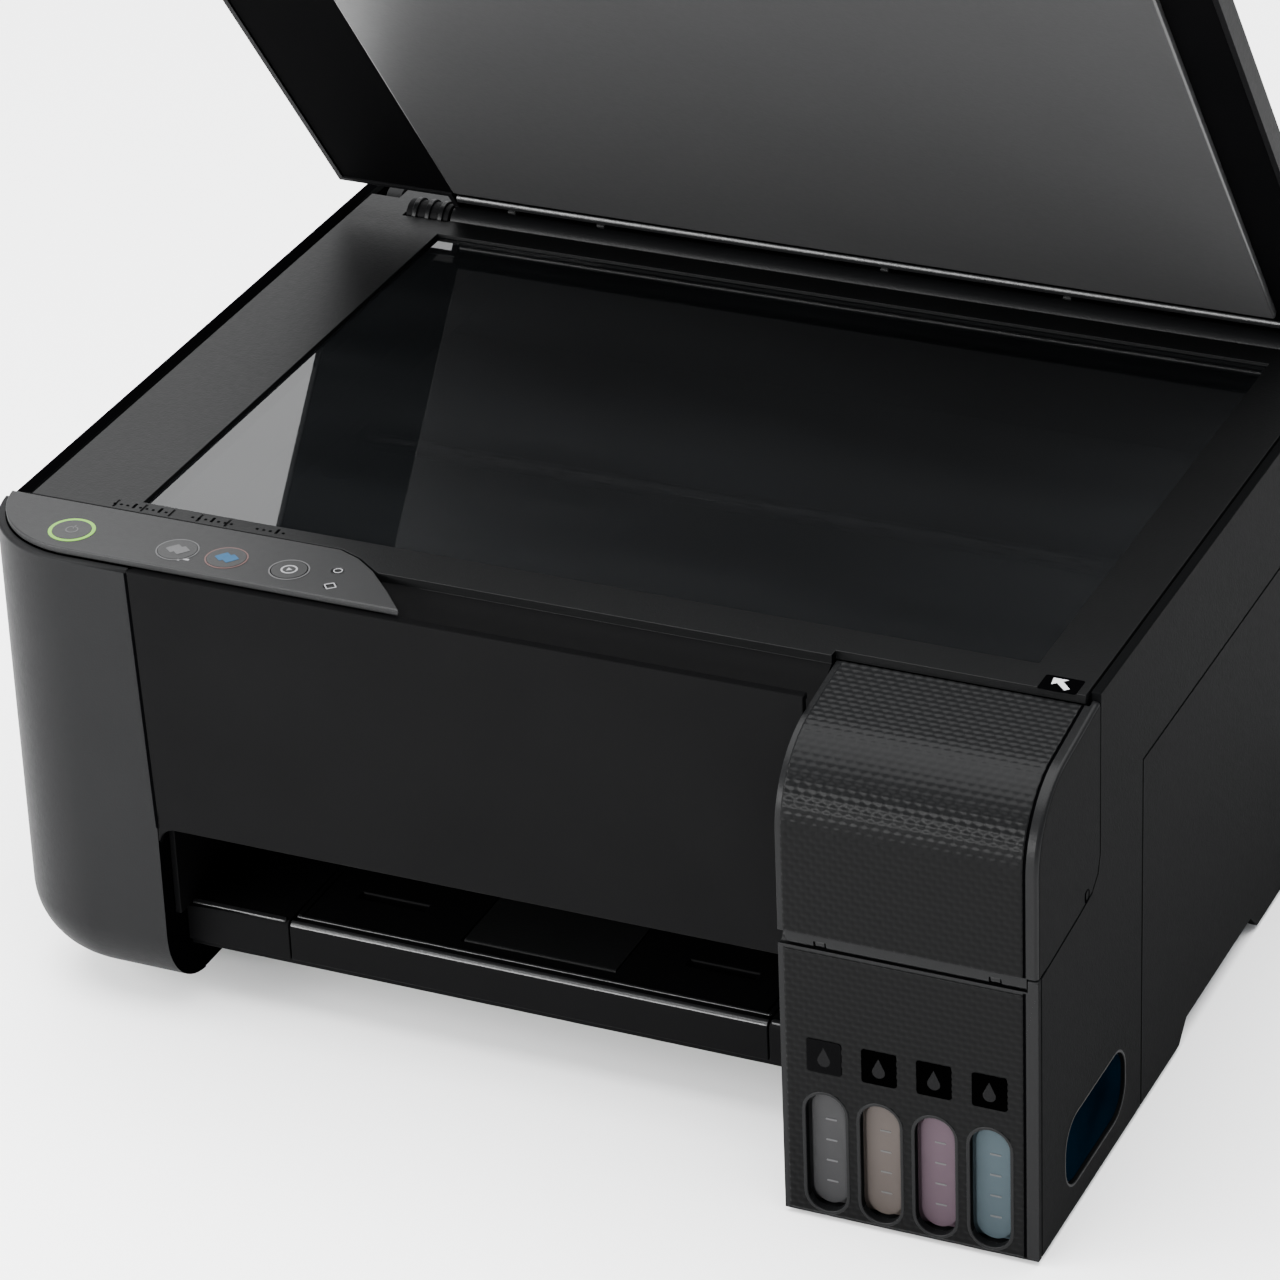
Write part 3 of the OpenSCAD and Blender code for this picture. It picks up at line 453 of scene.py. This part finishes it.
def hoop(outer, inner, low, high, across="z"):
    """A flat ring between two outlines that have the same number of points."""
    turn = LAID[across]
    bm = bmesh.new()
    loops = []
    for points, height in ((outer, low), (outer, high), (inner, high), (inner, low)):
        ring = [bm.verts.new(turn(a, b, height)) for a, b in points]
        loops.append([bm.edges.new((ring[i - 1], ring[i])) for i in range(len(ring))])
    for i in range(4):
        bmesh.ops.bridge_loops(bm, edges=loops[i] + loops[(i + 1) % 4])
    bmesh.ops.recalc_face_normals(bm, faces=bm.faces)
    return bm


def circle_ring(x, y, r, width, low, high, steps=48):
    return hoop(circle(x, y, r, steps), circle(x, y, r - width, steps), low, high)


def moulding(node, finish, rounding=0.45, wide=None, wide_r=1.5, patches=()):
    """The shape of a frame node with its flat faces joined up and its edges rounded.

    Each patch gives a second finish to the faces that its test picks by centre and direction.
    """
    source = frame["nodes"][node]
    bm = bmesh.new()
    bm.from_mesh(source.data)
    bmesh.ops.transform(bm, matrix=SET_DOWN.inverted(), verts=bm.verts)
    bmesh.ops.remove_doubles(bm, verts=bm.verts, dist=0.004)
    bmesh.ops.dissolve_limit(bm, angle_limit=math.radians(0.6), verts=bm.verts, edges=bm.edges)
    if wide:
        chosen = [e for e in bm.edges if len(e.link_faces) == 2
                  and e.calc_face_angle(0) > math.radians(40) and wide(e)]
        bmesh.ops.bevel(bm, geom=chosen, offset=wide_r, segments=4, profile=0.5, affect="EDGES",
                        clamp_overlap=False, material=-1)
    bm.normal_update()
    for face in bm.faces:
        for place, (_, test) in enumerate(patches, 1):
            if test(face.calc_center_median(), face.normal):
                face.material_index = place
    made = settle(node + "_moulding", bm, finish, source["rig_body"], (node,), rounding)
    for finish_name, _ in patches:
        made.data.materials.append(FINISH[finish_name])


# ---------- woven relief ----------

def brow_path(s):
    """Point and outward direction on the ink cover, s millimetres along from its seam."""
    rise = BROW_Z - SEAM_Z
    bend = BROW_R * (math.pi / 2 - BROW_SLOPE)
    if s < 0:
        a = -s / ROLL_R
        out = (-math.cos(a), -math.sin(a))
        return (ROLL_R + ROLL_R * out[0], SEAM_Z + ROLL_R * out[1]), out
    if s < rise:
        return (0.0, SEAM_Z + s), (-1.0, 0.0)
    if s < rise + bend:
        a = (s - rise) / BROW_R
        out = (-math.cos(a), math.sin(a))
        return (BROW_R + BROW_R * out[0], BROW_Z + BROW_R * out[1]), out
    out = (-math.sin(BROW_SLOPE), math.cos(BROW_SLOPE))
    run = s - rise - bend
    return (BROW_R + BROW_R * out[0] + run * out[1], BROW_Z + BROW_R * out[1] - run * out[0]), out


def flat_path(s):
    return (0.0, s), (-1.0, 0.0)


CELL_W, CELL_H = 3.5, 2.2


def relief(x, s):
    """Height of the staggered brick relief, 0 to 1."""
    row = math.floor(s / CELL_H)
    along = ((x + (CELL_W / 2 if row % 2 else 0)) / CELL_W) % 1
    up = (s / CELL_H) % 1
    return min(1, 1.6 * math.sin(math.pi * along)) * math.sin(math.pi * up) ** 0.8


def woven_sheet(x0, x1, s0, s1, path, keep, crest=0.26):
    columns = round((x1 - x0) / (CELL_W / 6))
    rows = round((s1 - s0) / (CELL_H / 4))
    bm = bmesh.new()
    bmesh.ops.create_grid(bm, x_segments=columns, y_segments=rows, size=0.5)
    for v in bm.verts:
        x = x0 + (v.co.x + 0.5) * (x1 - x0)
        s = s0 + (v.co.y + 0.5) * (s1 - s0)
        (y, z), out = path(s)
        lift = 0.05 + crest * relief(x, s)
        v.co = (x, y + out[0] * lift, z + out[1] * lift)
    bmesh.ops.recalc_face_normals(bm, faces=bm.faces)
    gone = [f for f in bm.faces if not keep(f.calc_center_median())]
    bmesh.ops.delete(bm, geom=gone, context="FACES")
    facing = sum((f.normal.y - f.normal.z for f in bm.faces), 0.0)
    if facing > 0:
        bmesh.ops.reverse_faces(bm, faces=bm.faces)
    return bm


def in_stadium(dx, dz, grow):
    half_w = WINDOW_W / 2 + grow
    straight = (WINDOW_H - WINDOW_W) / 2
    dz = max(0.0, abs(dz) - straight)
    return dx * dx + dz * dz < half_w * half_w


def housing_keeps(p):
    if any(in_stadium(p.x - x, p.z - WINDOW_Z, 0.5) for x in TANKS_X):
        return False
    return not any(abs(p.x - x) < 5.2 and abs(p.z - LABEL_Z) < 5.4 for x in TANKS_X)


def side_window():
    y, z = SIDE_WINDOW
    pane = slab(rounded_rect(y, z, 51.8, 23.4, 9.4, 8), UNIT_SIDE_X - 1.6, UNIT_SIDE_X - 1, "x")
    settle("side_window_pane", pane, "side_blue", "base", rounding=0.3)
    rim = hoop(rounded_rect(y, z, 54.6, 26.2, 10.8, 10), rounded_rect(y, z, 53, 24.6, 10, 10),
               UNIT_SIDE_X - 0.3, UNIT_SIDE_X + 0.1, "x")
    settle("side_window_rim", rim, "case_black", "base", rounding=0.15)
    # Thin black ring for the finger notch: painted shade of its hollow.
    notch = hoop(rounded_rect(41.7, 107.7, 3.6, 4.2, 1.4, 6), rounded_rect(42.0, 107.9, 2.6, 3.2, 1, 6),
                 UNIT_SIDE_X - 0.1, UNIT_SIDE_X + 0.12, "x")
    settle("finger_notch_shade", notch, "painted_shade_and_print_black", "ink_cover")


def outer_right_edge(e):
    """An outward edge on the unit's right side."""
    if any(abs(v.co.x - UNIT_SIDE_X) > 0.01 or SEAM_Z - 2.3 < v.co.z < SEAM_Z + 2.5 for v in e.verts):
        return False
    other = [f.normal for f in e.link_faces if abs(f.normal.x) < 0.5]
    return bool(other) and (other[0].y < -0.1 or other[0].z > 0.1)


def ink_unit():
    # Faces turned to the right get the darker side black: painted shade.
    shaded_flank = ("shaded_side_black", lambda c, n: n.x > 0.9)
    moulding("ink_cover", "edge_black", 0.12, wide=outer_right_edge, patches=(shaded_flank,))
    moulding("tank_housing", "edge_black", 0.12, wide=outer_right_edge, patches=(shaded_flank,))
    length = (BROW_Z - SEAM_Z) + BROW_R * (math.pi / 2 - BROW_SLOPE) + 26.7
    settle("ink_cover_relief", woven_sheet(*RELIEF_X, COVER_START, length, brow_path, lambda p: True),
           "woven_black", "ink_cover", thickness=0.3, sharp=180)
    settle("housing_relief", woven_sheet(*RELIEF_X, 2.6, SEAM_Z - 3.2, flat_path, housing_keeps),
           "woven_black", "base", thickness=0.3, sharp=180)
    # Black shadow line beside the smooth edge strip.
    groove = bmesh.new()
    bmesh.ops.create_grid(groove, x_segments=1, y_segments=60, size=0.5)
    for v in groove.verts:
        (y, z), out = brow_path(COVER_START + (v.co.y + 0.5) * (length - COVER_START))
        v.co = (183.15 + v.co.x * 0.9, y + out[0] * 0.06, z + out[1] * 0.06)
    bmesh.ops.recalc_face_normals(groove, faces=groove.faces)
    settle("cover_shadow_line", groove, "painted_shade_and_print_black", "ink_cover", thickness=0.1)
    settle("housing_shadow_line", slab([(182.7, 2.4), (183.6, 2.4), (183.6, 96.9), (182.7, 96.9)],
                                       -0.06, 0.05, "y"), "painted_shade_and_print_black", "base")
    for i, x in enumerate(TANKS_X):
        lip = hoop(stadium(x, WINDOW_Z, WINDOW_W + 2.2, WINDOW_H + 2.2),
                   stadium(x, WINDOW_Z, WINDOW_W, WINDOW_H), -0.42, 0.2, "y")
        settle("window_lip_%d" % i, lip, "edge_black", "base", rounding=0.2)


def windows():
    """Ink windows: pad with faint level dashes, and the label plate above each."""
    for x, ink in zip(TANKS_X, ("smoke", "yellow", "magenta", "cyan")):
        marks = [slab(rounded_rect(x + 0.6, z, 3.6, 0.55, 0.2, 3), 2.86, 3.05, "y")
                 for z in (13, 20.5, 28, 35.5)]
        settle("level_marks_" + ink, merged(*marks), "print_faint", "base")
        plate = slab(rounded_rect(x, LABEL_Z, 11.4, 11.8, 1), -0.4, 0.9, "y")
        shade = "label_soft" if ink == "smoke" else "label_black"
        settle("label_plate_" + ink, plate, shade, "base", rounding=0.2)
        drop = [(x, LABEL_Z + 3.6)] + arc(x, LABEL_Z - 1.2, 2.1, 35, -215, 16)
        settle("label_drop_" + ink, slab(drop, -0.47, -0.3, "y"), "label_grey", "base",
               rounding=0.06)


# ---------- scanner top and panel ----------

def flat_mark(name, shapes, finish):
    parts = [slab(shape, PRINT_LOW, PRINT_HIGH) for shape in shapes]
    settle(name, merged(*parts), finish, "scanner_unit")


def turned(points, cx, cy, degrees):
    c, s = math.cos(math.radians(degrees)), math.sin(math.radians(degrees))
    return [(cx + (a - cx) * c - (b - cy) * s, cy + (a - cx) * s + (b - cy) * c) for a, b in points]


def buttons():
    low, high = TOP_Z + 0.18, TOP_Z + 0.25
    spots = {"power": (-152.1, 39.7), "mono_copy": (-114.1, 39.4),
             "colour_copy": (-97.0, 39.8), "stop": (-74.9, 39.6)}
    rings = {"power": ("ring_lime", 7.6, 1.2), "mono_copy": ("print_faint", 6.95, 0.45),
             "colour_copy": ("print_rose", 6.95, 0.5), "stop": ("print_faint", 6.55, 0.5)}
    for key, (finish, r, width) in rings.items():
        ring = circle_ring(*spots[key], r, width, TOP_Z - 0.05, TOP_Z + 0.12)
        settle(key + "_ring", ring, finish, "scanner_unit")
    x, y = spots["power"]
    icon = [hoop(arc(x, y, 2.1, 120, 420, 24), arc(x, y, 1.7, 120, 420, 24), low, high),
            slab(rounded_rect(x, y + 1.8, 0.45, 2.2, 0.15, 3), low, high)]
    settle("power_icon", merged(*icon), "print_faint", "power_button")
    for key, finish in (("mono_copy", "print_faint"), ("colour_copy", "print_blue")):
        x, y = spots[key]
        sheets = [turned(rounded_rect(x - 1.1, y - 0.5, 3.6, 4.6, 0.4), x, y, -38),
                  turned(rounded_rect(x + 1.3, y + 0.7, 3.6, 4.6, 0.4), x, y, -38)]
        parts = [slab(sheet, low, high + 0.03 * i) for i, sheet in enumerate(sheets)]
        settle(key + "_icon", merged(*parts), finish, key + "_button")
    x, y = spots["stop"]
    tri = [(x + 1.0, y), (x - 0.6, y + 1.0), (x - 0.6, y - 1.0)]
    icon = [circle_ring(x, y, 2.7, 0.6, low, high), slab(tri, low, high)]
    settle("stop_icon", merged(*icon), "print_white", "stop_button")


def panel_marks():
    x, y = -58.1, 34.6
    lamps = [circle_ring(-60.3, 44.4, 1.5, 0.35, PRINT_LOW, PRINT_HIGH, 24),
             hoop(turned(rounded_rect(x, y, 3.4, 3.4, 0.5), x, y, 40),
                  turned(rounded_rect(x, y, 2.6, 2.6, 0.3), x, y, 40), PRINT_LOW, PRINT_HIGH)]
    settle("status_lamps", merged(*lamps), "print_white", "scanner_unit")
    copies = [rounded_rect(-108.6, 34.6, 2.2, 1.0, 0.4), rounded_rect(-110.8, 33.6, 1.0, 1.0, 0.3)]
    flat_mark("copy_mark", copies, "print_white")


def ruler_marks():
    """Short marks beside the glass, every fourth one longer."""
    pitch = 2.3
    marks = []
    for x0, x1 in ((-148, -128), (-120, -106), (-97, -87)):
        for i in range(math.ceil((x1 - x0) / pitch)):
            h = 3.0 if i % 4 == 3 else 0.9
            marks.append(rounded_rect(x0 + pitch * i, 60.4 + h / 4, 0.9, h, 0.2, 3))
    flat_mark("size_marks", marks, "painted_shade_and_print_black")


def corner_badge():
    """The arrow that shows which corner the sheet goes to."""
    x, y = 174.6, 54.4
    settle("corner_badge", slab(rounded_rect(x, y, 12.4, 8.8, 0.8), TOP_Z - 0.1, TOP_Z + 0.12), "painted_shade_and_print_black",
           "scanner_unit", rounding=0.1)
    arrow = [(-3.4, 3.0), (1.4, 3.0), (0.0, 1.7), (3.4, -1.9), (2.1, -3.1), (-1.4, 0.4), (-2.8, -0.9)]
    outline = [(x + a, y + b) for a, b in arrow]
    settle("corner_arrow", slab(outline, TOP_Z + 0.1, TOP_Z + 0.18), "arrow_white", "scanner_unit")


def scanner_top():
    # The recess faces of the frame get the darker ledge black: painted shade.
    recess_shade = ("ledge_painted_shade", lambda c, n: c.y < 50.2 and c.z < 167.9)
    moulding("scanner_frame", "frame_black", 0.15, patches=(recess_shade,))
    moulding("control_panel", "panel_grey", 0.35)
    buttons()
    panel_marks()
    ruler_marks()
    corner_badge()


# ---------- lid ----------

def distance_to_bar(p):
    return math.hypot(p.y - HINGE_Y, p.z - HINGE_Z)


def on_lid(bm):
    """Swings a piece drawn on the closed lid to where the open lid holds it."""
    bmesh.ops.transform(bm, matrix=LID_SWING, verts=bm.verts)
    return bm


def lid():
    bar = ("edge_black", lambda c, n: distance_to_bar(c) < 5.8)
    moulding("lid_shell", "lid_black", 0.1, patches=(bar,))
    moulding("lid_mat", "mat_white", 0.8)
    moulding("hinge_brackets", "lid_black", 0.3)
    for i, x in enumerate((-155.5, -150.5, -145.5)):
        rib = hoop(circle(HINGE_Y, HINGE_Z, 6.3, 32), circle(HINGE_Y, HINGE_Z, 5.3, 32), x, x + 1.8, "x")
        settle("hinge_rib_%d" % i, rib, "edge_black", "scanner_unit", rounding=0.25)
    side, mat_left, mat_right = 181.2, -136.9, 163.7
    front, step, back = 50.2, 61.2, 282.2
    strips = [[(-side, step), (mat_left, step), (mat_left, back), (-side, back)],
              [(mat_left, step), (-65.4, step), (-49.4, front), (mat_right, front), (mat_right, 65.5),
               (mat_left, 65.5)],
              [(mat_right, front), (side, front), (side, back), (mat_right, back)],
              [(mat_left, 279.1), (mat_right, 279.1), (mat_right, 284.2), (mat_left, 284.2)]]
    # Sheet that closes the hollow lid's underside border, in the darker black: painted shade under the open
    # lid.
    underside_sheet = on_lid(merged(*[slab(strip, 172.2, 173) for strip in strips]))
    settle("lid_underside_shade_sheet", underside_sheet, "lid_underside_shade_black", "lid")
    # Rear bead in the paler gloss black: painted highlight.
    bead = on_lid(slab(circle(286.6, 172.9, 1.8, 24), -138, 163.6, "x"))
    settle("lid_rear_bead", bead, "gloss_and_painted_highlight", "lid")
    for i, x in enumerate((-118, -84, 22, 88)):
        clip = on_lid(slab(rounded_rect(x, 289.7, 3, 1.4, 0.5, 3), 171.2, 172.8))
        settle("lid_clip_%d" % i, clip, "panel_grey", "lid", rounding=0.2)


# ---------- covers and tray ----------

def tray_bar_edge(e):
    """The upper front edge of the bar across the paper tray."""
    return all(abs(v.co.y - TRAY_Y) < 0.01 and abs(v.co.z - TRAY_TOP) < 0.01 for v in e.verts)


def covers():
    # The left cover's shoulder band and the slot's inner faces get the near-black: painted shade.
    shoulder_shade = ("painted_shade_and_print_black", lambda c, n: c.z > 161.5 and c.y > 58 and n.z > 0.12)
    slot_side_shade = ("painted_shade_and_print_black", lambda c, n: c.z < 76 and (n.x > 0.6 or (c.x > -126 and c.y > FRONT_Y + 2)))
    moulding("left_cover", "case_black", 0.0, patches=(shoulder_shade, slot_side_shade))
    # The front cover's upward and set-back faces get the darker ledge black: painted shade in the recess.
    ledge_shade = ("ledge_painted_shade", lambda c, n: n.z > 0.3 or c.y > FRONT_Y + 1)
    moulding("front_cover", "front_black", 0.45, patches=(ledge_shade,))
    # Right covers in the darker side black: painted shade.
    moulding("right_cover", "shaded_side_black", 0.35)
    moulding("right_rear_cover", "shaded_side_black", 0.35)
    moulding("output_tray", "inner_black", 0.3)
    moulding("base_tray", "inner_black", 0.3, wide=tray_bar_edge, wide_r=2)
    # The tray bar's up-facing front faces get the paler gloss black: painted highlight.
    moulding("tray_extension", "inner_black", 0.4, wide=tray_bar_edge, wide_r=2,
             patches=(("gloss_and_painted_highlight", lambda c, n: c.y < TRAY_Y + 3 and n.z > 0.2 and n.y < -0.05),))
    # Rib and bar ends in the paler gloss black: painted highlight.
    rib = slab(rounded_rect(-0.2, TRAY_Y + 4.6, 166, 1.1, 0.5, 3), TRAY_TOP - 0.2, TRAY_TOP + 0.4)
    settle("tray_bar_rib", rib, "gloss_and_painted_highlight", "tray_extension", rounding=0.2)
    for name, x, width in (("left", -102.4, 34), ("right", 93.4, 18)):
        end = slab(rounded_rect(x, TRAY_Y + 1.3, width, 2.2, 1, 5), TRAY_TOP - 0.4, TRAY_TOP + 0.5)
        settle("tray_bar_end_" + name, end, "gloss_and_painted_highlight", "base", rounding=0.3)
    seam = [(-125.9, 167.8), (-124.9, 167.8), (-121.4, 76), (-122.4, 76)]
    settle("front_seam_shadow", slab(seam, FRONT_Y - 0.07, FRONT_Y + 0.1, "y"), "painted_shade_and_print_black", "base")


set_camera()
studio()
dress_frame()
ink_unit()
windows()
side_window()
scanner_top()
lid()
covers()
